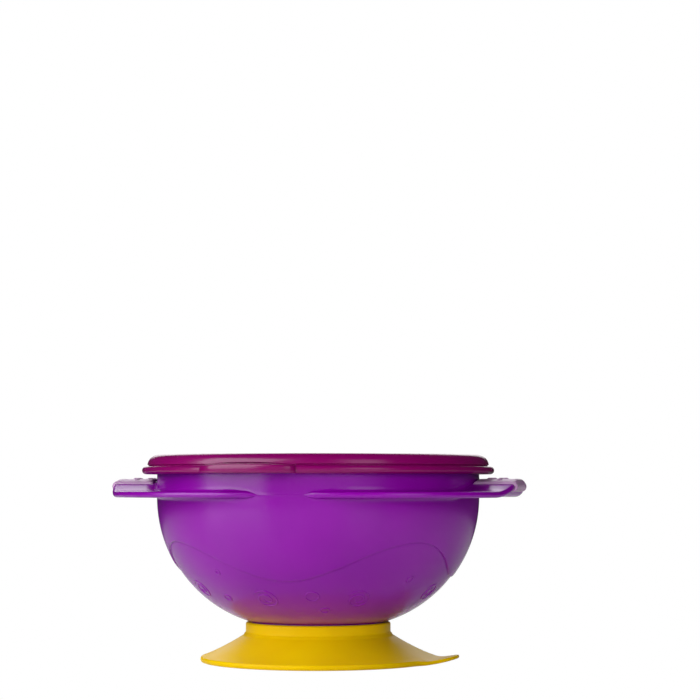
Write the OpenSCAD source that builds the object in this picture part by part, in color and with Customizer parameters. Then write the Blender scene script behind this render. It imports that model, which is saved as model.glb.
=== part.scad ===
// Suction bowl for babies: a round bowl with two wing handles and soft grips,
// a snap-on lid, and a suction base whose collar holds the bowl's foot.
// The origin is on the table under the middle of the base, +Z is up,
// and the handles point along X.

/* [Bowl] */
// Outer diameter of the bowl's upright wall
bowl_d = 140; // [116:1:170]
// Height of the bowl from its underside to its rim, without the foot
bowl_h = 69.6; // [58:0.1:90]
// Radius of the bowl's rounded side, seen from the side
side_r = 56.9; // [47:0.1:60]
// Wall thickness of the bowl
wall_t = 2.2; // [1.6:0.1:3]
// Thickness of the rounded rim bead
rim_bead_d = 3.6; // [3:0.1:5]

/* [Foot] */
// Outer radius of the foot ring that plugs into the base
foot_r = 28.7; // [23:0.1:35]
// Thickness of the foot ring
foot_t = 2.4; // [1.6:0.1:4]
// How far the underside's round edge stands out from the collar
bottom_over = 1.3; // [0:0.1:3]
// How far the flat floor inside reaches past that edge
floor_over = 3.3; // [2:0.1:6]

/* [Handles] */
// How far the wings' round outline stands out from the bowl's wall
wing_out = 20.1; // [14:0.1:26]
// Angle from a handle's middle to where its wing runs out
wing_angle = 82; // [60:1:85]
// Thickness of a wing
wing_t = 2.6; // [1.6:0.1:3.5]
// How far a wing arches up in the middle, under the thumb
arch_h = 4.4; // [0:0.1:6]
// Distance along the wing from the middle of the arch to its end
arch_l = 30; // [20:1:40]
// Half length of the level top of the arch
arch_flat = 6; // [0:0.5:12]
// How much the wing's edge is cut straight under the grip
edge_cut = 1.9; // [1:0.1:3]

/* [Grips] */
// Length of a grip along the wing's edge
grip_l = 30; // [20:1:38]
// Thickness of the grip's skin above and below the wing
grip_t = 0.9; // [0.6:0.1:1.4]
// Thickness of the grip's skin over the wing's edge
grip_side = 1.2; // [0.8:0.1:2]
// Height of the round bumps above the grip
bump_h = 0.5; // [0.3:0.1:1]

/* [Lid] */
// Height of the lid's top above the top of the bowl's rim
lid_rise = 1.8; // [1.6:0.1:4]
// Height of the lid's rim band
lid_h = 8.3; // [8:0.1:11]
// Thickness of the lid's middle panel
lid_t = 1.6; // [1.2:0.1:2.5]
// Thickness of the wall outside the rim
lid_wall = 2.5; // [1.6:0.1:4]
// Height of the lip round the lid's lower edge
lip_h = 3.3; // [2:0.1:4]
// How far the lip stands out from the lid's wall
lip_out = 2.3; // [1:0.1:5]
// Thickness of the plug ring inside the bowl's mouth
plug_t = 1.6; // [1.2:0.1:2.5]
// Depth of the recess in the lid's top
recess_h = 1.0; // [0.4:0.1:1.5]
// Width of the flat ring round that recess
annulus_w = 16.6; // [10:0.1:24]
// Width of the pull tab
tab_w = 43; // [24:1:52]
// How far the pull tab stands out from the lip
tab_out = 5.6; // [3:0.1:10]
// Angle of the pull tab round the lid
tab_angle = -100; // [-180:5:180]

/* [Suction base] */
// Outer radius of the suction skirt
base_r = 50.9; // [44:0.1:65]
// Height of the skirt, up to the collar
skirt_h = 12; // [10:0.1:16]
// Height of the collar above the skirt
collar_h = 5; // [4:0.1:8]
// Wall thickness of the collar
collar_t = 2.4; // [1.8:0.1:4]
// Depth of the socket inside the collar
socket_h = 4.7; // [4:0.1:6]
// Thickness of the skirt
skirt_t = 2.4; // [1.8:0.1:3.2]
// Thickness of the skirt's outer edge
edge_t = 2; // [1.2:0.1:2.6]
// How far the skirt's outline sags in
skirt_sag = 0.65; // [0:0.05:1.2]
// Width of the flat land that meets the table
land_w = 3.4; // [2:0.1:5]
// How far the release tab stands out from the skirt
release_out = 10.8; // [6:0.1:16]
// Width of the release tab
release_w = 24; // [16:1:34]
// Height of the underside of the release tab's tip
release_lift = 2.3; // [0:0.1:4]
// Thickness of the release tab's tip
release_t = 1.4; // [1:0.1:2.2]

/* [Fits] */
// Gap between the bowl's foot and the collar's wall
foot_gap = 0.3; // [0.2:0.05:0.6]
// Gap between the bowl's foot and the socket's floor
seat_gap = 0.3; // [0.2:0.05:0.6]
// Gap between the bowl's underside and the top of the collar
collar_gap = 0.6; // [0.3:0.05:1]
// Gap between the rim bead and the lid
lid_gap = 0.3; // [0.2:0.05:0.6]
// Gap between a grip and the bowl's wall
grip_gap = 2; // [0.5:0.1:4]
// Gap between the grips' bumps and the lid's lip above them
lip_gap = 1.5; // [0.8:0.1:10]

/* [Hidden] */
$fn = 96;
ROUND = 180;                            // facets of the large circles
STEPS = 12;                             // steps of the curved outlines

// base
collar_z = skirt_h + collar_h;
collar_r = foot_r + foot_gap + collar_t;
socket_z = collar_z - socket_h;
skirt_run = base_r - collar_r;
edge_round = 0.6;
land_r = base_r - edge_round - land_w;  // inner edge of the flat land
land_rise = 4;                          // run from the land up to the skirt's underside

// bowl
wall_r = bowl_d / 2;
bottom_z = collar_z + collar_gap;
bottom_r = collar_r + bottom_over;
rim_z = bottom_z + bowl_h;
side_x = wall_r - side_r;               // middle of the side curve, out from the axis
side_z = bottom_z + sqrt(pow(side_r, 2) - pow(bottom_r - side_x, 2));
floor_r = bottom_r + floor_over;
floor_z = side_z - sqrt(pow(side_r - wall_t, 2) - pow(floor_r - side_x, 2));
foot_z = socket_z + seat_gap;
bead_r = rim_bead_d / 2;
bead_x = wall_r - wall_t + bead_r;      // the bead is flush with the wall inside
bead_z = rim_z - bead_r;

// lid
lid_z = rim_z + lid_rise;
channel_r = bead_r + lid_gap;           // round roof of the channel over the bead
lid_in = bead_x + channel_r;
lid_r = lid_in + lid_wall;
shoulder_r = 4.6;                       // rounding of the lid's top edge
lip_z = lid_z - lid_h;                  // underside of the lip
lip_r = lid_r + lip_out;
plug_r = bead_x - channel_r;
plug_z = lip_z + 2;                     // lower end of the plug ring
recess_r = lid_r - shoulder_r - annulus_w;
tab_inset = 0.2;                        // the pull tab is this much thinner each side

// wings: each outline is a circle that meets the wall at wing_angle
wing_z = lip_z - lip_gap - bump_h - grip_t - arch_h - wing_t;
wing_end = wall_r + wing_out;
wing_shift = (pow(wing_end, 2) - pow(wall_r, 2)) / (2 * (wing_end - wall_r * cos(wing_angle)));
wing_r = wing_end - wing_shift;
wing_cut = wing_end - edge_cut;         // the straight edge under the grip
grip_x = wing_cut + grip_side;          // reach of the handles

// [along the edge, share of the way in from the edge, diameter]
GRIP_BUMPS = [
    [-10.5, 0.48, 1.9], [-5.2, 0.70, 4.0], [-3.9, 0.37, 1.9],
    [1.0, 0.78, 1.9], [4.2, 0.50, 4.0], [9.9, 0.58, 1.9]
];

// Height of the skirt's top, a distance in from its outer edge
function skirt_top(d) =
    let (u = d / skirt_run) edge_t + (skirt_h - edge_t) * u - 4 * skirt_sag * u * (1 - u);

// Lift of a wing, a distance along its edge from the middle of the arch
function arch(y) =
    let (u = min(max((abs(y) - arch_flat) / (arch_l - arch_flat), 0), 1)) arch_h * (1 + cos(180 * u)) / 2;

// Reach of the pull tab past the lip, u from -1 to 1 across its width
function tab_reach(u) = tab_out * sqrt(1 - pow(abs(u), 4));

// Half of a bowl shape to revolve round the axis: a round side of radius r, upright above it
module half_bowl(r, low, high) {
    intersection() {
        union() {
            translate([side_x, side_z]) circle(r, $fn = ROUND);
            translate([0, low]) square([side_x + 1, high - low]);
            translate([0, side_z]) square([side_x + r, high - side_z]);
        }
        translate([0, low]) square([side_x + r, high - low]);
    }
}

module bowl_profile() {
    difference() {
        union() {
            half_bowl(side_r, bottom_z, bead_z);
            translate([0, foot_z]) square([foot_r, floor_z - wall_t - foot_z]);
        }
        half_bowl(side_r - wall_t, floor_z, rim_z + 1);
        // the underside is flat inside the foot ring
        square([foot_r - foot_t, floor_z - wall_t]);
    }
    translate([bead_x, bead_z]) circle(bead_r);
}

// Sheet that follows the arch of the +X wing, thicker than the wing by skin on each side
module arched_sheet(skin, half_l, reach) {
    low = wing_z - skin;
    high = wing_z + wing_t + skin;
    over = [for (i = [-STEPS : STEPS]) let (y = arch_l * i / STEPS) [y, high + arch(y)]];
    under = [for (i = [STEPS : -1 : -STEPS]) let (y = arch_l * i / STEPS) [y, low + arch(y)]];
    rotate([90, 0, 90]) linear_extrude(reach)
        polygon(concat(over, [[half_l, high], [half_l, low]], under, [[-half_l, low], [-half_l, high]]));
}

module wing() {
    intersection() {
        arched_sheet(0, wing_r + 1, wing_cut);
        translate([0, 0, wing_z - 1]) linear_extrude(arch_h + wing_t + 2)
            difference() {
                translate([wing_shift, 0]) circle(wing_r, $fn = ROUND);
                circle(wall_r - wall_t / 2, $fn = ROUND);
            }
    }
}

module bowl() {
    color([0.50, 0.07, 0.62]) {
        rotate_extrude($fn = ROUND) bowl_profile();
        wing();
        rotate([0, 0, 180]) wing();
    }
}

module grip_bump(along, share, d) {
    x = grip_x - share * (grip_x - wall_r - grip_gap);
    z = wing_z + wing_t + arch(along);
    translate([x, along, z]) cylinder(h = grip_t + bump_h, r = d / 2, $fn = 24);
}

// Soft skin that wraps the edge of the +X wing
module grip() {
    low = wing_z - grip_t - 1;
    high = wing_z + wing_t + arch_h + grip_t + 1;
    color([0.68, 0.44, 0.74]) {
        difference() {
            union() {
                intersection() {
                    arched_sheet(grip_t, arch_l + 10, grip_x);
                    translate([0, -grip_l / 2, low]) cube([grip_x, grip_l, high - low]);
                }
                for (b = GRIP_BUMPS) grip_bump(b[0], b[1], b[2]);
            }
            translate([0, 0, low - 1]) cylinder(h = high - low + 2, r = wall_r + grip_gap, $fn = ROUND);
            arched_sheet(0, arch_l + 11, wing_cut);
        }
    }
}

module grip_right() {
    grip();
}

module grip_left() {
    rotate([0, 0, 180]) grip();
}

module lid_profile() {
    low = lip_z - shoulder_r;
    difference() {
        union() {
            translate([0, lip_z]) square([lid_r, lid_h - shoulder_r]);
            translate([0, lip_z]) square([lid_r - shoulder_r, lid_h]);
            translate([lid_r - shoulder_r, lid_z - shoulder_r]) circle(shoulder_r);
            translate([0, lip_z]) square([lip_r - lip_h / 2, lip_h]);
            translate([lip_r - lip_h / 2, lip_z + lip_h / 2]) circle(lip_h / 2);
        }
        // nothing hangs below the lip
        translate([0, low]) square([lip_r, shoulder_r]);
        // channel over the bowl's rim
        translate([bead_x, bead_z]) circle(channel_r);
        translate([plug_r, low]) square([lid_in - plug_r, bead_z - low]);
        // open under the plug ring and inside it
        translate([0, low]) square([plug_r, plug_z - low]);
        translate([0, low]) square([plug_r - plug_t, lid_z - lid_t - recess_h - low]);
        translate([recess_r + lid_t, low]) square([plug_r - plug_t - recess_r - lid_t, lid_z - lid_t - low]);
        // recess in the top
        translate([0, lid_z - recess_h]) square([recess_r, recess_h + 1]);
    }
}

module pull_tab() {
    half = asin(tab_w / 2 / lip_r);
    outer = [for (i = [-STEPS : STEPS])
        let (u = sin(90 * i / STEPS), r = lip_r - 1 + tab_reach(u)) [r * cos(half * u), r * sin(half * u)]];
    rotate([0, 0, tab_angle]) translate([0, 0, lip_z + tab_inset]) linear_extrude(lip_h - 2 * tab_inset)
        difference() {
            polygon(concat([[0, 0]], outer));
            circle(lid_in + 1, $fn = ROUND);
        }
}

module lid() {
    color([0.55, 0.01, 0.36]) {
        rotate_extrude($fn = ROUND) lid_profile();
        pull_tab();
    }
}

module base_profile() {
    socket_r = foot_r + foot_gap;
    top = [for (i = [0 : STEPS]) let (d = skirt_run * i / STEPS) [base_r - d, skirt_top(d)]];
    under = [for (i = [0 : STEPS])
        let (d = skirt_run + (base_r - land_r + land_rise - skirt_run) * i / STEPS)
            [base_r - d, skirt_top(d) - skirt_t]];
    polygon(concat(
        top,
        [[collar_r, collar_z - edge_round], [collar_r - edge_round, collar_z],
         [socket_r, collar_z], [socket_r, socket_z], [0, socket_z], [0, skirt_h - skirt_t]],
        under,
        [[land_r, 0], [base_r - edge_round, 0], [base_r, edge_round]]
    ));
}

// Thin tongue that lifts off the table, to break the suction
module release_tab() {
    reach = base_r + release_out;
    root = land_r + land_w / 2;
    run = reach - root;
    root_t = skirt_top(base_r - root);
    low = [for (i = [0 : STEPS]) let (u = i / STEPS) [root + run * u, release_lift * pow(u, 1.6)]];
    high = [for (i = [STEPS : -1 : 0]) let (u = i / STEPS)
        [root + run * u, release_lift * pow(u, 1.6) + release_t + (root_t - release_t) * (1 - u)]];
    intersection() {
        rotate([90, 0, 0]) translate([0, 0, -release_w]) linear_extrude(2 * release_w)
            polygon(concat(low, high));
        linear_extrude(skirt_h) {
            translate([reach - release_w / 2, 0]) circle(release_w / 2);
            translate([root, -release_w / 2]) square([run - release_w / 2, release_w]);
        }
    }
}

module suction_base() {
    color([0.90, 0.76, 0.02]) {
        rotate_extrude($fn = ROUND) base_profile();
        release_tab();
    }
}

suction_base();
bowl();
grip_left();
grip_right();
lid();
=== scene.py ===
import math

import bpy
import numpy as np
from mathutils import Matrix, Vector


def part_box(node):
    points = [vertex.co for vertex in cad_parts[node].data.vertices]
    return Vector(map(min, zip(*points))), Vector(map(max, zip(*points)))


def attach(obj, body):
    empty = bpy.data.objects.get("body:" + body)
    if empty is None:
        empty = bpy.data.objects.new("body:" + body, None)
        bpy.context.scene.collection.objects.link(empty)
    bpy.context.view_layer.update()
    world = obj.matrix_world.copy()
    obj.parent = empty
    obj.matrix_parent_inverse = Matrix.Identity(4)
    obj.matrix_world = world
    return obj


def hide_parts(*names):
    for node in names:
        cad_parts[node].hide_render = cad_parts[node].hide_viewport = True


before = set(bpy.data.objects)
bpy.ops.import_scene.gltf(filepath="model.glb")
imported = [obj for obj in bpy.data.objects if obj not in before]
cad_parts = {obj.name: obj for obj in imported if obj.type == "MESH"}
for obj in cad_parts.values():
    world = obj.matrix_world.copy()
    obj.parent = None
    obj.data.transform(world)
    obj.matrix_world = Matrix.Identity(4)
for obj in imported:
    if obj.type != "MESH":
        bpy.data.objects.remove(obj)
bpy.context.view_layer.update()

mm = 0.001
print("frame loaded:", ", ".join(sorted(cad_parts)))


def linearColour(hexValue):
    # an sRGB hex value as linear red, green, blue, alpha
    srgb = np.array([int(hexValue[i:i + 2], 16) for i in (1, 3, 5)]) / 255
    linear = np.where(srgb <= 0.04045, srgb / 12.92, ((srgb + 0.055) / 1.055) ** 2.4)
    return (*linear.tolist(), 1.0)


def boxMm(node):
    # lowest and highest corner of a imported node, in millimetres
    low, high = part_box(node)
    return np.array(low) / mm, np.array(high) / mm


def rad(degrees):
    return np.radians(degrees)


def column(values):
    return np.reshape(np.asarray(values, float), (-1, 1))


def straight(start, end, steps, ends=True):
    # (radius, height) rows evenly spaced on a line between two points;
    # a radius or height is one value, or one value for each column
    t = column(np.linspace(0, 1, steps) if ends else np.linspace(0, 1, steps + 2)[1:-1])
    return [a + (b - a) * t for a, b in zip(start, end)]


def arc(centre, radius, start, end, steps, height=None):
    # (radius, height) rows on an ellipse round a centre, its angle going from start to end degrees
    a = rad(column(np.linspace(start, end, steps)))
    return [centre[0] + radius * np.cos(a), centre[1] + (radius if height is None else height) * np.sin(a)]


def revolved(angle, parts):
    # rows of (radius, height) turned round the axis: x = r cos(angle), y = r sin(angle)
    spread = [np.broadcast_arrays(r, z, angle) for r, z in parts]
    r = np.vstack([s[0] for s in spread])
    z = np.vstack([s[1] for s in spread])
    return np.stack([r * np.cos(angle), r * np.sin(angle), z], axis=-1)


def putMesh(name, points, sides):
    # a mesh from points in millimetres and a list of face arrays, one array for each number of corners
    mesh = bpy.data.meshes.new(name)
    mesh.vertices.add(len(points))
    mesh.vertices.foreach_set("co", (np.asarray(points) * mm).astype(np.float32).ravel())
    corners = np.concatenate([f.ravel() for f in sides]).astype(np.int32)
    counts = np.concatenate([np.full(len(f), f.shape[1]) for f in sides])
    mesh.loops.add(len(corners))
    mesh.loops.foreach_set("vertex_index", corners)
    mesh.polygons.add(len(counts))
    starts = np.concatenate([[0], np.cumsum(counts)[:-1]]).astype(np.int32)
    mesh.polygons.foreach_set("loop_start", starts)
    mesh.polygons.foreach_set("use_smooth", np.ones(len(counts), bool))
    mesh.update(calc_edges=True)
    mesh.validate()
    piece = bpy.data.objects.new(name, mesh)
    bpy.context.scene.collection.objects.link(piece)
    return piece


def gridFaces(rows, cols, first=0, wrapRows=False):
    # quads of a grid whose columns close on themselves, and whose rows may
    i = np.arange(rows if wrapRows else rows - 1)[:, None]
    j = np.arange(cols)[None, :]
    below, above = i * cols, (i + 1) % rows * cols
    right = (j + 1) % cols
    return first + np.stack([below + j, below + right, above + right, above + j], axis=-1).reshape(-1, 4)


def poleFan(pole, firstOfRow, cols, upward):
    # triangles from a pole to the row next to it
    j = np.arange(cols)
    ring = [firstOfRow + j, firstOfRow + (j + 1) % cols]
    a, b = ring if upward else ring[::-1]
    return np.stack([np.full(cols, pole), a, b], axis=-1)


def turnedPiece(name, angle, parts, lowPole, highPole):
    # a closed solid: rows from the pole under it, round the outside, to the pole on top
    points = revolved(angle, parts)
    rows, cols = points.shape[:2]
    poles = [[0, 0, lowPole], [0, 0, highPole]]
    everything = np.vstack([points.reshape(-1, 3), poles])
    last = rows * cols
    faces = gridFaces(rows, cols)
    fans = np.vstack([poleFan(last, 0, cols, False), poleFan(last + 1, last - cols, cols, True)])
    return putMesh(name, everything, [faces, fans])


def evenAngles(steps):
    return np.linspace(0, 360, steps, endpoint=False)


def smoothStep(value, low, high):
    t = np.clip((value - low) / (high - low), 0, 1)
    return t * t * (3 - 2 * t)


def addNode(tree, kind, inputs=None, **settings):
    # one node with its settings; an input is a socket to link from, or a value
    node = tree.nodes.new(kind)
    for key, value in settings.items():
        setattr(node, key, value)
    for key, value in (inputs or {}).items():
        if isinstance(value, bpy.types.NodeSocket):
            tree.links.new(value, node.inputs[key])
        else:
            node.inputs[key].default_value = value
    return node


def finishPiece(piece, body, slotName, material, *nodes):
    piece.data.materials.clear()
    piece.data.materials.append(material)
    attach(piece, body)
    if nodes:
        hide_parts(*nodes)
    return piece


# sizes that several pieces share, in millimetres

bowlLow, bowlHigh = boxMm("bowl")
baseHigh = boxMm("suction_base")[1]
lidLow, lidHigh = boxMm("lid")
gripHigh = boxMm("grip_right")[1]

bowlSize = {
    "wall": 70.0,           # outer radius of the upright wall
    "thick": 2.2,           # wall thickness
    "sideRadius": 56.9,     # round side, seen from the side
    "collarGap": 0.6,       # between the underside and the collar
    "bottom": 32.7,         # radius where the round side starts
    "foot": (26.3, 28.7),   # inner and outer radius of the foot ring
    "footRound": 0.5,       # rounding of its edges
    "floorRadius": 36.0,
    "footPrint": 27.5,      # radius of the foot ring's faint print in the floor
    "bead": 1.8,            # radius of the rim bead
    "recess": 0.65,         # how much the surface below the wave lies back
    "wave": (44.5, 7.75),   # middle height and half height of the wave line
    "wavePeak": 51.5,       # degrees from the front trough to the first peak
}
bottomZ = baseHigh[2] + bowlSize["collarGap"]
rimZ = bowlHigh[2]
sideX = bowlSize["wall"] - bowlSize["sideRadius"]
sideZ = bottomZ + math.sqrt(bowlSize["sideRadius"] ** 2 - (bowlSize["bottom"] - sideX) ** 2)

wingSize = {
    "thick": 2.6,
    "reach": 90.1,          # of the round outline, before the straight cut
    "meets": 82.0,          # degrees from the handle's middle to where the wing runs out
    "archHeight": 4.4,
    "archLength": 30.0,
    "archFlat": 6.0,        # half length of the arch's level top
    "upperFillet": 1.6,
    "lowerFillet": 1.2,
    "ridge": 0.05,          # the mould's parting line, which goes on between the wings
    "ridgeThick": 0.25,
    "cornerSharp": 2.0,     # how sharply the round outline turns into the straight cut
}
gripSize = {
    "length": 30.0,
    "inner": 72.0,          # radius of the grip's inner edge
    "skin": 0.9,            # over and under the wing
    "edgeSkin": 1.2,        # past the wing's edge
    "endRound": 1.1,
    "bumpHeight": 0.5,
    "bumpSlope": (0.45, 0.35),   # a bump's side starts this far inside its radius and ends this far outside
    # along the edge, share of the way in from the edge, diameter
    "bumps": [(-10.5, 0.48, 1.9), (-5.2, 0.70, 4.0), (-3.9, 0.37, 1.9),
              (1.0, 0.78, 1.9), (4.2, 0.50, 4.0), (9.9, 0.58, 1.9)],
}
wingCut = bowlHigh[0]
wingZ = gripHigh[2] - gripSize["bumpHeight"] - gripSize["skin"] - wingSize["archHeight"] - wingSize["thick"]


def archLift(along):
    # the wing's lift: level at the top, then half a cosine wave down to the arch's end
    flat, end = wingSize["archFlat"], wingSize["archLength"]
    share = np.clip((np.abs(along) - flat) / (end - flat), 0, 1)
    return wingSize["archHeight"] * (1 + np.cos(np.pi * share)) / 2


def wallRadius(z):
    # outer radius of the bowl's side: a circle below its widest height, upright above
    under = np.maximum(sideZ - z, 0)
    return sideX + np.sqrt(bowlSize["sideRadius"] ** 2 - under ** 2)


def waveHeight(angle):
    # height of the wave line: a cosine whose phase runs from trough to peak to trough round the bowl
    fromFront = np.abs((angle + 90 + 180) % 360 - 180)
    peak = bowlSize["wavePeak"]
    phase = np.interp(fromFront, [0, peak, 90, 180 - peak, 180], np.pi * np.arange(5))
    middle, half = bowlSize["wave"]
    return middle - half * np.cos(phase)


def sidePoint(fromFront, z, sunk):
    # point and outward normal on the bowl's round side, fromFront degrees round from -Y
    depth = sideZ - z
    radius = bowlSize["sideRadius"] - sunk
    tilt = np.arcsin(depth / radius)
    turn = rad(fromFront - 90)
    r = sideX + radius * np.cos(tilt)
    point = np.stack([r * np.cos(turn), r * np.sin(turn), z + 0 * r], axis=-1)
    normal = np.stack([np.cos(tilt) * np.cos(turn), np.cos(tilt) * np.sin(turn), -np.sin(tilt)], axis=-1)
    return point, normal


def mouldedPlastic(name, finish):
    # a moulded plastic: colour uneven from the melt's flow, gloss in soft patches, fine grain from the mould
    material = bpy.data.materials.new(name)
    material.use_nodes = True
    tree = material.node_tree
    tree.nodes.clear()
    place = addNode(tree, "ShaderNodeTexCoord").outputs["Object"]
    flow = addNode(tree, "ShaderNodeTexNoise", {"Vector": place, "Scale": 1 / (finish["flowMm"] * mm),
                                                "Detail": 2.0, "Roughness": 0.5})
    tone = addNode(tree, "ShaderNodeValToRGB", {"Fac": flow.outputs["Fac"]})
    tone.color_ramp.elements[0].position = 0.3
    tone.color_ramp.elements[1].position = 0.7
    tone.color_ramp.elements[0].color = linearColour(finish["deep"])
    tone.color_ramp.elements[1].color = linearColour(finish["colour"])
    grain = addNode(tree, "ShaderNodeTexNoise", {"Vector": place, "Scale": 1 / (finish["grainMm"] * mm),
                                                 "Detail": 3.0, "Roughness": 0.6})
    patch = addNode(tree, "ShaderNodeTexNoise", {"Vector": place, "Scale": 1 / (finish["patchMm"] * mm),
                                                 "Detail": 4.0, "Roughness": 0.6})
    gloss = addNode(tree, "ShaderNodeMapRange", {
        "Value": patch.outputs["Fac"],
        "From Min": 0.3,
        "From Max": 0.7,
        "To Min": finish["roughness"][0],
        "To Max": finish["roughness"][1],
    })
    bump = addNode(tree, "ShaderNodeBump", {
        "Height": grain.outputs["Fac"],
        "Strength": finish["grainStrength"],
        "Distance": finish["grainDepthMm"] * mm,
    })
    shader = addNode(tree, "ShaderNodeBsdfPrincipled", {
        "Base Color": tone.outputs["Color"],
        "Roughness": gloss.outputs["Result"],
        "Normal": bump.outputs["Normal"],
        "IOR": finish["ior"],
        "Specular IOR Level": finish["specular"],
        "Subsurface Weight": finish["scatter"],
        "Subsurface Radius": finish["scatterTint"],
        "Subsurface Scale": finish["scatterMm"] * mm,
        "Coat Weight": finish["coat"],
        "Coat Roughness": finish["coatRoughness"],
    })
    addNode(tree, "ShaderNodeOutputMaterial", {"Surface": shader.outputs["BSDF"]})
    return material


# injection-moulded polypropylene with a satin outside: broad soft highlights, white only at a grazing angle
purplePolypropylene = mouldedPlastic("purplePolypropylene", {
    "colour": "#8C00A2",
    "deep": "#84009A",
    "flowMm": 30,
    "grainMm": 0.6,         # real grain is about 0.1 mm, drawn coarser so that it shows
    "grainStrength": 0.04,
    "grainDepthMm": 0.05,
    "patchMm": 18,
    "roughness": (0.21, 0.25),
    "ior": 1.49,
    "specular": 0.5,
    "scatter": 0.15,
    "scatterTint": (1.0, 0.25, 1.0),
    "scatterMm": 1.2,
    "coat": 0.0,
    "coatRoughness": 0.2,
})

# injection-moulded polypropylene from a polished mould: deep magenta with sharper highlights
magentaPolypropylene = mouldedPlastic("magentaPolypropylene", {
    "colour": "#82005E",
    "deep": "#7C0059",
    "flowMm": 35,
    "grainMm": 1.2,
    "grainStrength": 0.08,
    "grainDepthMm": 0.05,
    "patchMm": 15,
    "roughness": (0.20, 0.27),
    "ior": 1.49,
    "specular": 0.5,
    "scatter": 0.15,
    "scatterTint": (1.0, 0.15, 0.5),
    "scatterMm": 1.2,
    "coat": 0.0,
    "coatRoughness": 0.2,
})

# moulded silicone rubber: soft yellow that light sinks into, with a smooth sheen
yellowSilicone = mouldedPlastic("yellowSilicone", {
    "colour": "#E6C000",
    "deep": "#E0B800",
    "flowMm": 25,
    "grainMm": 0.8,
    "grainStrength": 0.10,
    "grainDepthMm": 0.05,
    "patchMm": 12,
    "roughness": (0.30, 0.38),
    "ior": 1.43,
    "specular": 0.1,
    "scatter": 0.25,
    "scatterTint": (1.0, 0.7, 0.1),
    "scatterMm": 2.0,
    "coat": 0.0,
    "coatRoughness": 0.2,
})

# moulded thermoplastic elastomer, milky and see-through: the wing's purple tints it from inside
milkyElastomer = mouldedPlastic("milkyElastomer", {
    "colour": "#B994B8",
    "deep": "#A67DA8",
    "flowMm": 8,
    "grainMm": 0.5,
    "grainStrength": 0.15,
    "grainDepthMm": 0.05,
    "patchMm": 6,
    "roughness": (0.34, 0.42),
    "ior": 1.45,
    "specular": 0.5,
    "scatter": 0.6,
    "scatterTint": (1.0, 0.5, 1.0),
    "scatterMm": 2.5,
    "coat": 0.0,
    "coatRoughness": 0.2,
})
print("materials made")


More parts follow.
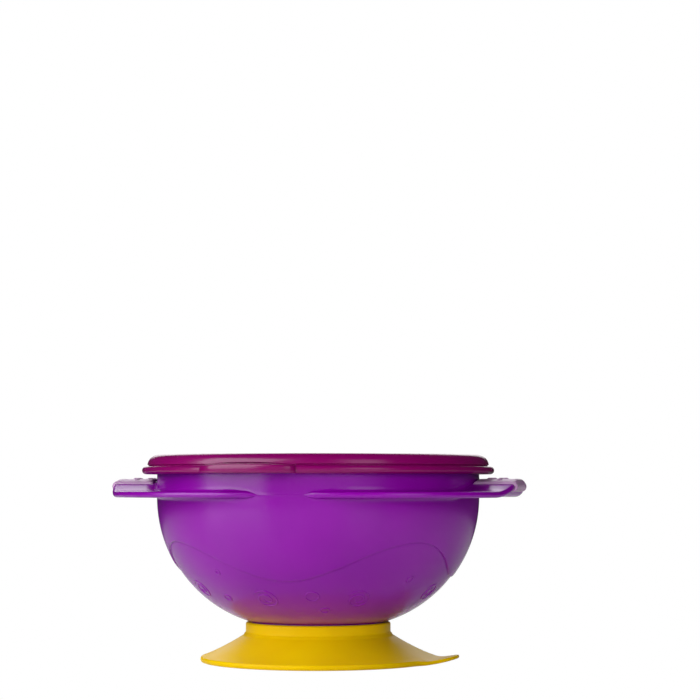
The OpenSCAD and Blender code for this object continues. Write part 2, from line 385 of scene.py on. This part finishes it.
def buildBowl():
    angle = evenAngles(420)
    turn = rad(angle)
    wall, thick = bowlSize["wall"], bowlSize["thick"]
    footIn, footOut = bowlSize["foot"]
    footZ = bowlLow[2]
    side = bowlSize["sideRadius"]
    low = side - bowlSize["recess"]
    inner = side - thick
    floorR = bowlSize["floorRadius"]
    floorZ = sideZ - math.sqrt(inner ** 2 - (floorR - sideX) ** 2)
    underZ = floorZ - thick
    footRound = bowlSize["footRound"]

    # underside and foot ring
    parts = [
        straight((2, underZ), (footIn - 0.6, underZ), 5),
        arc((footIn - footRound, underZ - footRound), footRound, 90, 0, 4),
        straight((footIn, underZ - 0.8), (footIn, footZ + 0.6), 3),
        arc((footIn + footRound, footZ + footRound), footRound, 180, 270, 5),
        arc((footOut - footRound, footZ + footRound), footRound, 270, 360, 5),
        straight((footOut, footZ + 0.7), (footOut, bottomZ - 0.4), 3),
        arc((footOut + 0.3, bottomZ - 0.3), 0.3, 180, 90, 4),
    ]

    # round side below the wave, a circle of smaller radius
    startTilt = math.asin((sideZ - bottomZ) / low)
    startR = sideX + low * math.cos(startTilt)
    wave = waveHeight(angle)
    waveTilt = np.arcsin((sideZ - wave) / low)
    parts.append(straight((footOut + 0.6, bottomZ), (startR - 0.3, bottomZ), 3))
    t = column(np.linspace(0, 1, 44))
    tilt = startTilt + (waveTilt - startTilt) * t
    parts.append([sideX + low * np.cos(tilt), sideZ - low * np.sin(tilt)])

    # the step up at the wave: a fine groove at its foot, then out to the full side;
    # millimetres outwards for a recess of 0.65, and millimetres up
    stepOut = column([-0.07, -0.08, 0.10, 0.50, 0.61, 0.65]) / 0.65 * bowlSize["recess"]
    stepUp = column([0.16, 0.24, 0.30, 0.38, 0.48, 0.70])
    tilt = waveTilt - stepUp / side
    parts.append([sideX + (low + stepOut) * np.cos(tilt), sideZ - (low + stepOut) * np.sin(tilt)])

    # how far the wing stands out at each angle: a shifted circle, cut straight
    reach, meets = wingSize["reach"], rad(wingSize["meets"])
    shift = (reach ** 2 - wall ** 2) / (2 * (reach - wall * math.cos(meets)))
    radius = reach - shift
    across, along = np.abs(np.cos(turn)), np.sin(turn)
    outline = shift * across + np.sqrt(radius ** 2 - (shift * along) ** 2)
    cut = wingCut / np.maximum(across, 0.01)
    # the smaller of the two with a soft corner: -log(exp(-k a) + exp(-k b)) / k
    sharp = wingSize["cornerSharp"]
    smaller = -np.logaddexp(-sharp * outline, -sharp * cut) / sharp
    out = np.maximum(smaller - wall, 0) + wingSize["ridge"]
    full = np.sin(np.pi / 2 * np.clip(out / 1.6, 0, 1))
    thickness = wingSize["ridgeThick"] + (wingSize["thick"] - wingSize["ridgeThick"]) * full
    middle = wingZ + wingSize["thick"] / 2
    lowFillet = np.minimum(wingSize["lowerFillet"], 0.45 * out)
    highFillet = np.minimum(wingSize["upperFillet"], 0.45 * out)
    edge = np.minimum(wingSize["thick"] / 2, 0.5 * out)

    # the side from the wave up to the wing
    startZ = parts[-1][1][-1]
    rootZ = middle - thickness / 2 - lowFillet + archLift(wall * along)
    t = column(np.linspace(0, 1, 34)[1:-1])
    z = startZ + (rootZ - startZ) * t
    parts.append([wallRadius(z), z])

    def lifted(rows):
        r, z = rows
        return [r, z + archLift(r * along)]

    under, over = middle - thickness / 2, middle + thickness / 2
    tip = wall + out - edge
    parts += [
        lifted(arc((wall + lowFillet, under - lowFillet), lowFillet, 180, 90, 5)),
        lifted(straight((wall + lowFillet, under), (tip, under), 4, ends=False)),
        lifted(arc((tip, middle + 0 * tip), edge, -90, 90, 11, height=thickness / 2)),
        lifted(straight((tip, over), (wall + highFillet, over), 4, ends=False)),
        lifted(arc((wall + highFillet, over + highFillet), highFillet, 270, 180, 6)),
    ]

    # wall above the wing, rim bead, inside
    bead = bowlSize["bead"]
    beadR, beadZ = wall - thick + bead, rimZ - bead
    beadStart = -math.degrees(math.acos((wall - beadR) / bead))
    endZ = over + highFillet + archLift(wall * along)
    beadLow = beadZ + bead * math.sin(rad(beadStart)) - 0.25
    tilts = rad(column(np.linspace(0, math.degrees(math.acos((floorR + 0.6 - sideX) / inner)), 40)))
    parts += [
        straight((wall + 0 * endZ, endZ), (wall + 0 * endZ, beadLow + 0 * endZ), 8, ends=False),
        [column([wall]), column([beadLow])],
        arc((beadR, beadZ), bead, beadStart + 8, 180, 26),
        straight((wall - thick, beadZ - 0.5), (wall - thick, sideZ + 0.5), 5),
        [sideX + inner * np.cos(tilts), sideZ - inner * np.sin(tilts)],
    ]

    # tight crease at the floor, the foot ring's faint print and the gate mark
    footPrint = bowlSize["footPrint"]
    floorRows = [
        (floorR + 0.1, floorZ + 0.12), (floorR - 0.3, floorZ + 0.01), (floorR - 1.0, floorZ),
        (31.0, floorZ),
        (footPrint + 0.6, floorZ), (footPrint + 0.2, floorZ - 0.06), (footPrint - 0.2, floorZ - 0.06),
        (footPrint - 0.6, floorZ), (20.0, floorZ), (10.0, floorZ), (4.0, floorZ), (1.6, floorZ),
        (1.2, floorZ - 0.15), (0.8, floorZ - 0.2), (0.5, floorZ + 0.05),
    ]
    parts.append([column([row[0] for row in floorRows]), column([row[1] for row in floorRows])])
    return turnedPiece("bowl_shell", turn, parts, underZ, floorZ + 0.15)


def sweptRidges(name, routes, half, high):
    # raised lines: an ellipse, half wide and high, carried along each route of points and surface normals
    sides = 8
    ring = rad(evenAngles(sides))
    points, quads, triangles, first = [], [], [], 0
    for route, normal, closed in routes:
        ahead = np.roll(route, -1, axis=0) - np.roll(route, 1, axis=0)
        if not closed:
            ahead[0], ahead[-1] = route[1] - route[0], route[-1] - route[-2]
        ahead /= np.linalg.norm(ahead, axis=1)[:, None]
        side = np.cross(ahead, normal)
        fade = np.ones(len(route))
        if not closed:
            ends = np.minimum(np.arange(len(route)), np.arange(len(route))[::-1])
            fade = np.sqrt(np.clip((ends + 0.3) / 3, 0, 1))
        tube = (route[:, None, :]
                + side[:, None, :] * (half * fade[:, None] * np.cos(ring))[:, :, None]
                + normal[:, None, :] * (high * fade[:, None] * np.sin(ring))[:, :, None])
        points.append(tube.reshape(-1, 3))
        quads.append(gridFaces(len(route), sides, first, wrapRows=closed)[:, ::-1])
        count = len(route) * sides
        if not closed:
            points.append(route[[0, -1]])
            triangles.append(poleFan(first + count, first, sides, True))
            triangles.append(poleFan(first + count + 1, first + count - sides, sides, False))
            count += 2
        first += count
    faces = [np.vstack(kind) for kind in (quads, triangles) if kind]
    return putMesh(name, np.vstack(points), faces)


def reliefRoute(fromFront, z, width, kind):
    # a spiral of about two turns, or a ring, laid on the round side with its centre at that place
    if kind == "spiral":
        share = np.linspace(0, 1, 90)
        radius = width / 2 * (1 - bowlRelief["spiralShrink"] * share)
        turn = rad(bowlRelief["spiralStart"] - bowlRelief["spiralSweep"] * share)
    else:
        turn = rad(evenAngles(40))
        radius = np.full(40, width / 2)
    over = radius * np.cos(turn)
    up = radius * np.sin(turn)
    sunk = bowlSize["recess"]
    circle = bowlSize["sideRadius"] - sunk
    tilt = math.asin((sideZ - z) / circle) - up / circle
    level = sideZ - circle * np.sin(tilt)
    ringRadius = sideX + circle * np.cos(tilt)
    point, normal = sidePoint(fromFront + np.degrees(over / ringRadius), level, sunk)
    return point, normal, kind == "ring"


bowlRelief = {
    # degrees round from the front, height, width, kind
    "spirals": [(-52.5, 32.0, 10.4), (-12.0, 28.9, 11.2), (32.0, 28.9, 11.2), (76.0, 30.5, 10.4)],
    "rings": [(10.2, 30.4, 5.5), (16.7, 24.3, 3.7), (-31.0, 40.0, 2.2), (-35.2, 29.1, 3.5),
              (54.0, 37.0, 3.0)],
    "turns": (0, 180),      # the same again on the far side
    "spiralStart": 150,     # degrees
    "spiralSweep": 700,     # degrees that a spiral winds through
    "spiralShrink": 0.80,   # share of its radius that it loses on the way in
    "halfWidth": 0.38,
    "height": 0.24,
}

finishPiece(buildBowl(), "bowl", "bowl_plastic", purplePolypropylene, "bowl")
routes = []
for turned in bowlRelief["turns"]:
    for place, z, width in bowlRelief["spirals"]:
        routes.append(reliefRoute(place + turned, z, width, "spiral"))
    for place, z, width in bowlRelief["rings"]:
        routes.append(reliefRoute(place + turned, z, width, "ring"))
reliefLines = sweptRidges("bowl_relief", routes, bowlRelief["halfWidth"], bowlRelief["height"])
finishPiece(reliefLines, "bowl", "bowl_plastic", purplePolypropylene)
print("bowl made")


lidSize = {
    "lipRadius": 76.5,
    "lipHeight": 3.3,
    "wall": 74.2,           # outer radius above the lip
    "shoulder": 4.6,        # rounding of the top edge
    "groove": (0.6, 0.6),   # depth and height of the groove between shoulder and lip
    "channel": 2.1,         # round roof over the rim bead
    "plug": (65.9, 67.5),
    "plugLow": 2.0,         # the plug ring ends this far above the lip
    "panel": 1.6,
    "recess": 1.0,
    "recessRadius": 55.0,
    "lobes": 12,
    "lobeDepth": 8.0,
    "lobePower": 0.8,       # below 1 the lobes' points are sharper
    "lobeSlope": 1.6,       # width of the slope down into the recess
    "tabAngle": -100.0,
    "tabWidth": 43.0,
    "tabOut": 5.6,
    "tabRise": 1.0,         # of the middle of the tab above the lip
}


def buildLid():
    tabHalf = math.degrees(math.asin(lidSize["tabWidth"] / 2 / lidSize["lipRadius"]))
    # columns crowd together at the tab's ends, where its outline turns in
    ends = 0.9 * np.linspace(0, 1, 14) ** 2
    dense = [lidSize["tabAngle"] + s * (tabHalf - ends * 1.5) for s in (-1, 1)]
    angle = np.unique(np.round(np.concatenate([evenAngles(360) - 180, *dense]), 4))
    turn = rad(angle)
    u = np.clip((angle - lidSize["tabAngle"]) / tabHalf, -1, 1)
    tab = np.maximum(lidSize["tabOut"] * np.sqrt(1 - np.abs(u) ** 4) - 1, 0)
    isTab = smoothStep(tab, 0, 2.0)

    top, low = lidHigh[2], lidLow[2]
    wall, shoulder = lidSize["wall"], lidSize["shoulder"]
    plugIn, plugOut = lidSize["plug"]
    plugZ = low + lidSize["plugLow"]
    beadR = bowlSize["wall"] - bowlSize["thick"] + bowlSize["bead"]
    beadZ = rimZ - bowlSize["bead"]
    channel = lidSize["channel"]
    recessR = lidSize["recessRadius"]
    panelZ = top - lidSize["recess"]
    lipH, lipR = lidSize["lipHeight"], lidSize["lipRadius"]
    lipMid, lipZ = lipR - lipH / 2, low + lipH / 2
    lipTop = low + lipH
    # the tab's top is crowned across its width, and fills the groove
    rise = lidSize["tabRise"] * isTab * (1 - u ** 2)
    grooveIn = lidSize["groove"][0] * (1 - 0.9 * isTab)
    grooveHigh = lidSize["groove"][1]
    corner = 0.3 * (1 - 0.9 * isTab)

    arches = np.abs(np.sin(turn * lidSize["lobes"] / 2)) ** lidSize["lobePower"]
    lobe = recessR - lidSize["lobeDepth"] * arches
    lobeIn = lobe - lidSize["lobeSlope"]
    square = 1 - 0.5 * isTab        # the tab's edge is squarer than the lip's

    a = rad(column(np.linspace(-90, 90, 15)))
    lipRows = [
        lipMid + tab + lipH / 2 * np.cos(a) ** square,
        lipZ + (lipH / 2 - 0.2 * isTab) * np.sign(np.sin(a)) * np.abs(np.sin(a)) ** square
        + rise * (1 + np.sin(a)) / 2,
    ]
    slope = column(np.linspace(0, 1, 9))
    parts = [
        straight((2, panelZ - lidSize["panel"]), (recessR - 1, panelZ - lidSize["panel"]), 8),
        straight((recessR + 1, top - lidSize["panel"]), (plugIn - 0.5, top - lidSize["panel"]), 4),
        arc((plugIn - 0.4, top - lidSize["panel"] - 0.4), 0.4, 90, 0, 4),
        straight((plugIn, top - lidSize["panel"] - 0.7), (plugIn, plugZ + 1.2), 3),
        arc((plugIn + 0.8, plugZ + 0.8), 0.8, 180, 360, 9),
        straight((plugOut, plugZ + 1.2), (plugOut, beadZ - 0.3), 3),
        arc((beadR, beadZ), channel, 180, 0, 17),
        straight((beadR + channel, beadZ - 0.3), (beadR + channel, low + 0.4), 4),
        arc((beadR + channel + 0.3, low + 0.3), 0.3, 180, 270, 4),
        straight((beadR + channel + 0.6, low + 0 * tab), (lipMid + tab, low + 0.2 * isTab), 4, ends=False),
        lipRows,
        straight((lipMid + tab, lipTop - 0.2 * isTab + rise), (wall - grooveIn + corner, lipTop + rise), 7,
                 ends=False),
        arc((wall - grooveIn + corner, lipTop + rise + corner), corner, 270, 180, 4),
        arc((wall - 0.3, lipTop + rise + grooveHigh * (1 - 0.7 * isTab) + 0.3), 0.3, 260, 360, 6),
        arc((wall - shoulder, top - shoulder), shoulder, 8, 90, 18),
        straight((wall - shoulder - 0.5, top + 0 * tab), (lobe + 1.0, top + 0 * tab), 9),
        [lobe + (lobeIn - lobe) * slope + 0.5 * (1 - slope) ** 4,
         top - lidSize["recess"] * smoothStep(slope, 0, 1) + 0 * tab],
        straight((lobeIn - 0.8, panelZ + 0 * tab), (2 + 0 * tab, panelZ + 0 * tab), 14),
    ]
    return turnedPiece("lid_shell", turn, parts, panelZ - lidSize["panel"], panelZ)


def flatRing(x, y, z, long, short, lean):
    # an oval line on the lid's flat middle
    turn = rad(evenAngles(44))
    lean = rad(lean)
    a, b = long / 2 * np.cos(turn), short / 2 * np.sin(turn)
    route = np.stack([x + a * np.cos(lean) - b * np.sin(lean), y + a * np.sin(lean) + b * np.cos(lean),
                      z + 0 * a], axis=-1)
    return route, np.tile([0.0, 0.0, 1.0], (44, 1)), True


lidRelief = {
    # x, y, length, width, lean of the ovals and dots
    "ovals": [(-14, -6, 15, 8, 35), (12, 12, 14, 7, 60), (20, -14, 8, 5, 20)],
    "dots": [(-26, 12, 4), (-18, 22, 3), (-4, 26, 3.6), (2, 2, 2.4), (-2, -20, 3), (10, -4, 2.2),
             (-28, -8, 2.6), (26, 4, 2.6), (6, -30, 2.8), (-16, -24, 2.4), (22, 24, 2.2), (-6, 12, 2.2)],
    "halfWidth": 0.45,
    "height": 0.28,
}

finishPiece(buildLid(), "lid", "lid_plastic", magentaPolypropylene, "lid")
panelTop = lidHigh[2] - lidSize["recess"]
lines = [flatRing(x, y, panelTop, long, short, lean) for x, y, long, short, lean in lidRelief["ovals"]]
lines += [flatRing(x, y, panelTop, wide, wide, 0) for x, y, wide in lidRelief["dots"]]
lidLines = sweptRidges("lid_relief", lines, lidRelief["halfWidth"], lidRelief["height"])
finishPiece(lidLines, "lid", "lid_plastic", magentaPolypropylene)
print("lid made")


baseSize = {
    "radius": 50.9,
    "skirtTop": 12.0,
    "collar": 31.4,
    "socket": (29.0, 12.3),
    "edge": 2.0,
    "edgeRound": 0.95,      # rounding of the skirt's edge
    "collarRound": 1.0,
    "collarFillet": 0.75,   # between the skirt and the collar
    "sag": 0.65,
    "landInner": 46.9,      # the flat ring on the table starts here
    "domeHeight": 9.6,
    "domeFlat": 27.4,       # radius of the hollow's flat middle
    "domeSag": 1.7,
    "tabHalfAngle": 12.6,
    "tabJoin": 0.86,        # half angles from the middle to where the round tongue ends
    "tabFlare": 1.9,        # the tab's outline runs out at this many half angles
    "tabLift": 2.3,
    "tabThick": 1.4,
    "tabRoot": 48.6,
}


def buildBase():
    angle = np.unique(np.round(np.concatenate([evenAngles(300) - 180, np.linspace(-24, 24, 97)]), 4))
    turn = rad(angle)
    radius, collar = baseSize["radius"], baseSize["collar"]
    socketR, socketZ = baseSize["socket"]
    collarZ = baseHigh[2]
    run = radius - collar

    # the tab's outline: a round tongue that flares into the rim; s is the angle over its half angle
    s = np.abs(angle) / baseSize["tabHalfAngle"]
    joinAt = baseSize["tabJoin"]
    joinValue = math.sqrt(1 - joinAt ** 2)
    slope = -joinAt / joinValue
    span = baseSize["tabFlare"] - joinAt
    h = np.clip((s - joinAt) / span, 0, 1)
    flare = joinValue * (2 * h ** 3 - 3 * h ** 2 + 1) + slope * span * (h ** 3 - 2 * h ** 2 + h) * 0.55
    tongue = np.sqrt(np.clip(1 - s ** 2, 0, 1))
    out = (baseHigh[0] - radius) * np.where(s < joinAt, tongue, np.maximum(flare, 0))
    isTab = smoothStep(out, 0.0, 3.0)
    edgeR = radius + out

    def skirtTop(r):
        # straight cone with a slight sag between the rim and the collar
        u = (radius - r) / run
        cone = baseSize["edge"] + (baseSize["skirtTop"] - baseSize["edge"]) * u
        return cone - 4 * baseSize["sag"] * u * (1 - u)

    def tabUnder(r):
        u = np.clip((r * np.cos(turn) - baseSize["tabRoot"]) / (baseHigh[0] - baseSize["tabRoot"]), 0, 1)
        return baseSize["tabLift"] * u ** 1.6 * isTab

    def topOf(r):
        # the higher of skirt and tab, rounded where they cross
        skirt = skirtTop(np.minimum(r, radius + 3))
        tab = tabUnder(r) + baseSize["tabThick"]
        higher = (skirt + tab + np.sqrt((skirt - tab) ** 2 + 0.6)) / 2
        return skirt + (higher - skirt) * isTab

    # the hollow under the cup: flat in the middle, then down to the land with a slight sag
    landIn, domeFlat = baseSize["landInner"], baseSize["domeFlat"]
    domeR = column(np.linspace(2, landIn, 26))
    k = np.clip((domeR - domeFlat) / (landIn - domeFlat), 0, 1)
    domeZ = (1 - k) * (baseSize["domeHeight"] - baseSize["domeSag"] * k)

    rimRound = baseSize["edgeRound"] - 0.3 * isTab
    edgeLow = tabUnder(edgeR - rimRound)
    edgeHigh = topOf(edgeR - rimRound)
    landRows = straight((landIn + 0.3, 0), (edgeR - rimRound, 0), 14)
    landRows[1] = tabUnder(landRows[0])
    a = rad(column(np.linspace(-80, 80, 13)))
    middle, half = (edgeLow + edgeHigh) / 2, (edgeHigh - edgeLow) / 2
    skirtRows = straight((edgeR - rimRound * 1.2, 0), (collar + 0.9, 0), 40)
    skirtRows[1] = topOf(skirtRows[0])
    footZ = baseSize["skirtTop"]
    fillet, collarRound = baseSize["collarFillet"], baseSize["collarRound"]
    parts = [
        [domeR, domeZ],
        landRows,
        [edgeR - rimRound + rimRound * np.cos(a) ** 0.8, middle + half * np.sin(a)],
        skirtRows,
        arc((collar + fillet, footZ + 0.98), fillet, 250, 180, 6),
        straight((collar, footZ + 1.2), (collar, collarZ - 1.1), 4),
        arc((collar - collarRound, collarZ - collarRound), collarRound, 0, 90, 9),
        straight((collar - 1.1, collarZ), (socketR + 0.5, collarZ), 3),
        arc((socketR + 0.4, collarZ - 0.4), 0.4, 90, 180, 5),
        straight((socketR, collarZ - 0.6), (socketR, socketZ + 0.5), 3),
        arc((socketR - 0.4, socketZ + 0.4), 0.4, 0, -90, 4),
        straight((socketR - 0.6, socketZ), (2, socketZ), 8),
    ]
    return turnedPiece("suction_cup", turn, parts, baseSize["domeHeight"], socketZ)


finishPiece(buildBase(), "suction_base", "soft_base", yellowSilicone, "suction_base")
print("suction base made")


def buildGrip(name, sign):
    half = gripSize["length"] / 2
    along = column(half * np.sin(rad(np.linspace(-90, 90, 141))))
    inner = np.sqrt(gripSize["inner"] ** 2 - along ** 2)
    rim = wingSize["thick"] / 2
    edgeX = wingCut - rim
    # a loop over the wing: in along the top, round the edge, back along the underside
    share = np.linspace(0, 1, 62)[None, :]
    turn = rad(np.linspace(90, -90, 19)[1:-1])[None, :]
    flat, bend = np.ones_like(share), np.ones_like(turn)
    topX = inner + (edgeX - inner) * share
    x = np.hstack([topX, edgeX + rim * np.cos(turn) + 0 * along, topX[:, ::-1]])
    offset = np.hstack([rim * flat, rim * np.sin(turn), -rim * flat])
    normalX = np.hstack([0 * flat, np.cos(turn), 0 * flat])
    normalZ = np.hstack([flat, np.sin(turn), -flat])
    outwards = np.hstack([gripSize["skin"] * flat,
                          gripSize["skin"] + (gripSize["edgeSkin"] - gripSize["skin"]) * np.cos(turn),
                          gripSize["skin"] * flat])
    fromInner = x - inner
    toEnd = half - np.abs(along)
    endRound = gripSize["endRound"]

    def rounded(distance):
        s = np.clip(distance / endRound, 0, 1)
        return np.sqrt(np.clip(1 - (1 - s) ** 2, 0, 1))

    nose = np.hstack([0 * flat, bend, 0 * flat])
    skin = outwards * rounded(toEnd) * np.maximum(rounded(fromInner), nose)
    middle = wingZ + wingSize["thick"] / 2 + archLift(along)
    bumps = 0 * x
    slopeIn, slopeOut = gripSize["bumpSlope"]
    for place, inward, wide in gripSize["bumps"]:
        bumpX = gripHigh[0] - inward * (gripHigh[0] - gripSize["inner"])
        distance = np.hypot(x - bumpX, along - place)
        side = smoothStep(distance, wide / 2 - slopeIn, wide / 2 + slopeOut)
        bumps += gripSize["bumpHeight"] * (1 - side)
    bumps = bumps * np.hstack([flat, 0 * bend, 0 * flat])
    outer = skin + bumps
    y = along + 0 * x

    def layer(distance):
        level = middle + offset + normalZ * distance
        return np.stack([sign * (x + normalX * distance), sign * y, level], axis=-1)

    # outer and inner layer share their border, so the skin is closed
    top, bottom = layer(outer), layer(0.02 + 0 * outer)
    rows, cols = top.shape[:2]
    index = np.arange(rows * cols).reshape(rows, cols)
    lower = index + rows * cols
    lower[[0, -1], :] = index[[0, -1], :]
    lower[:, [0, -1]] = index[:, [0, -1]]

    def sheet(numbers):
        return np.stack([numbers[:-1, :-1], numbers[1:, :-1], numbers[1:, 1:], numbers[:-1, 1:]],
                        axis=-1).reshape(-1, 4)

    faces = np.vstack([sheet(index)[:, ::-1], sheet(lower)])
    used, renumbered = np.unique(faces, return_inverse=True)
    points = np.vstack([top.reshape(-1, 3), bottom.reshape(-1, 3)])[used]
    return putMesh(name, points, [renumbered.reshape(-1, 4)])


for gripName, sign in (("grip_right", 1), ("grip_left", -1)):
    grip = buildGrip(gripName + "_skin", sign)
    finishPiece(grip, "bowl", "soft_grip", milkyElastomer, gripName)
print("grips made")


stage = {
    "floorRadius": 0.55,
    "floorColour": "#E8E8E8",
    "floorRoughness": 0.25,
    "world": 0.02,
    "lightAim": 0.045,      # height that the lights look at
    "camera": {
        "azimuth": 13.0,
        "distance": 0.92,
        "height": 0.077,
        "lens": 108.3,
        "pitch": 3.61,
        "aside": 0.86,      # degrees that the camera turns away from the object's middle
    },
    # azimuth and elevation seen from the object, distance, width, height, watts
    "softBoxes": {
        "keyBox": (-48, 28, 1.4, 1.35, 1.45, 20.5),
        "fillBox": (45, 26, 1.4, 0.55, 1.1, 2.6),
        "backBox": (193, 22, 1.4, 0.8, 0.7, 3.0),
        "frontFill": (14, 3, 1.6, 1.6, 1.0, 18.0),
        "backFill": (193, 30, 1.6, 1.4, 0.9, 13.0),
    },
    "diffuseOnly": ["frontFill", "backFill"],
}


def buildFloor():
    steps = 96
    turn = rad(evenAngles(steps))
    ring = np.stack([np.cos(turn), np.sin(turn), 0 * turn], axis=-1) * stage["floorRadius"] / mm
    points = np.vstack([ring, [[0, 0, 0]]])
    floor = putMesh("floor", points, [poleFan(steps, 0, steps, True)])
    material = bpy.data.materials.new("paleFloor")
    material.use_nodes = True
    tree = material.node_tree
    tree.nodes.clear()
    paper = addNode(tree, "ShaderNodeBsdfPrincipled", {
        "Base Color": linearColour(stage["floorColour"]),
        "Roughness": stage["floorRoughness"],
    })
    white = addNode(tree, "ShaderNodeEmission", {"Color": (1, 1, 1, 1), "Strength": 1.0})
    seen = addNode(tree, "ShaderNodeLightPath").outputs["Is Camera Ray"]
    mix = addNode(tree, "ShaderNodeMixShader", {0: seen, 1: paper.outputs[0], 2: white.outputs[0]})
    addNode(tree, "ShaderNodeOutputMaterial", {"Surface": mix.outputs[0]})
    floor.data.materials.append(material)


def directionFrom(azimuth, elevation):
    # unit vector from the object towards a place; azimuth 0 is -Y and grows towards +X
    a, e = rad(azimuth), rad(elevation)
    return np.array([math.sin(a) * math.cos(e), -math.cos(a) * math.cos(e), math.sin(e)])


def buildLights():
    aim = np.array([0, 0, stage["lightAim"]])
    for name, (azimuth, elevation, distance, width, height, watts) in stage["softBoxes"].items():
        light = bpy.data.lights.new(name, "AREA")
        light.shape = "RECTANGLE"
        light.size, light.size_y = width, height
        light.energy = watts
        lamp = bpy.data.objects.new(name, light)
        lamp.location = aim + directionFrom(azimuth, elevation) * distance
        lamp.rotation_euler = (rad(90 - elevation), 0, rad(azimuth))
        lamp.visible_camera = False
        lamp.visible_glossy = name not in stage["diffuseOnly"]
        bpy.context.scene.collection.objects.link(lamp)


def buildWorld():
    world = bpy.data.worlds.new("studio")
    bpy.context.scene.world = world
    world.use_nodes = True
    tree = world.node_tree
    tree.nodes.clear()
    seen = addNode(tree, "ShaderNodeLightPath").outputs["Is Camera Ray"]
    backdrop = addNode(tree, "ShaderNodeBackground", {"Color": (1, 1, 1, 1), "Strength": 1.0})
    dim = addNode(tree, "ShaderNodeBackground", {"Color": (1, 1, 1, 1), "Strength": stage["world"]})
    mix = addNode(tree, "ShaderNodeMixShader", {0: seen, 1: dim.outputs[0], 2: backdrop.outputs[0]})
    addNode(tree, "ShaderNodeOutputWorld", {"Surface": mix.outputs[0]})


def buildCamera():
    view = stage["camera"]
    data = bpy.data.cameras.new("camera")
    data.lens = view["lens"]
    data.sensor_width = 36
    camera = bpy.data.objects.new("camera", data)
    place = directionFrom(view["azimuth"], 0) * view["distance"]
    camera.location = (place[0], place[1], view["height"])
    camera.rotation_euler = (rad(90 + view["pitch"]), 0, rad(view["azimuth"] - view["aside"]))
    bpy.context.scene.collection.objects.link(camera)
    bpy.context.scene.camera = camera


buildFloor()
buildLights()
buildWorld()
buildCamera()
bpy.context.scene.view_settings.view_transform = "Standard"
print("stage, lights and camera made")
